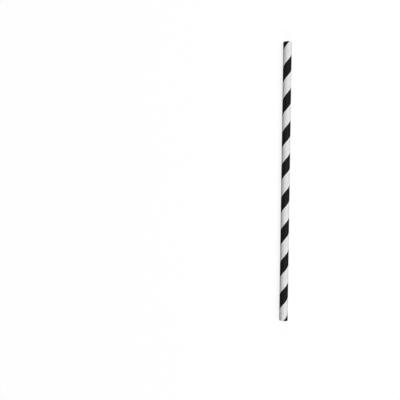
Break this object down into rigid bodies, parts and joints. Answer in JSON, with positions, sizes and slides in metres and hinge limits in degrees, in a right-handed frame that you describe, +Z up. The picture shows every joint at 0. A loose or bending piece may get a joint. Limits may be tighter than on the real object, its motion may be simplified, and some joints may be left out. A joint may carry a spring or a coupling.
{
  "type": "paper drinking straw",
  "caption": "Straight spiral-wound paper tube for drinking, white with a black band that climbs round it, with square-cut open ends.",
  "frame": {"origin": "middle of the straw's footprint, on the surface it lies on", "axes": "+X along the straw, +Z up, away from the surface it lies on, +Y across it"},
  "size_m": [0.197, 0.006, 0.006],
  "materials": {
    "white_paper": "matte uncoated white paper",
    "black_ink": "black ink printed on paper, with a low satin sheen"
  },
  "bodies": {
    "root": {"paper_tube": "white_paper", "black_stripe": "black_ink"}
  },
  "joints": []
}
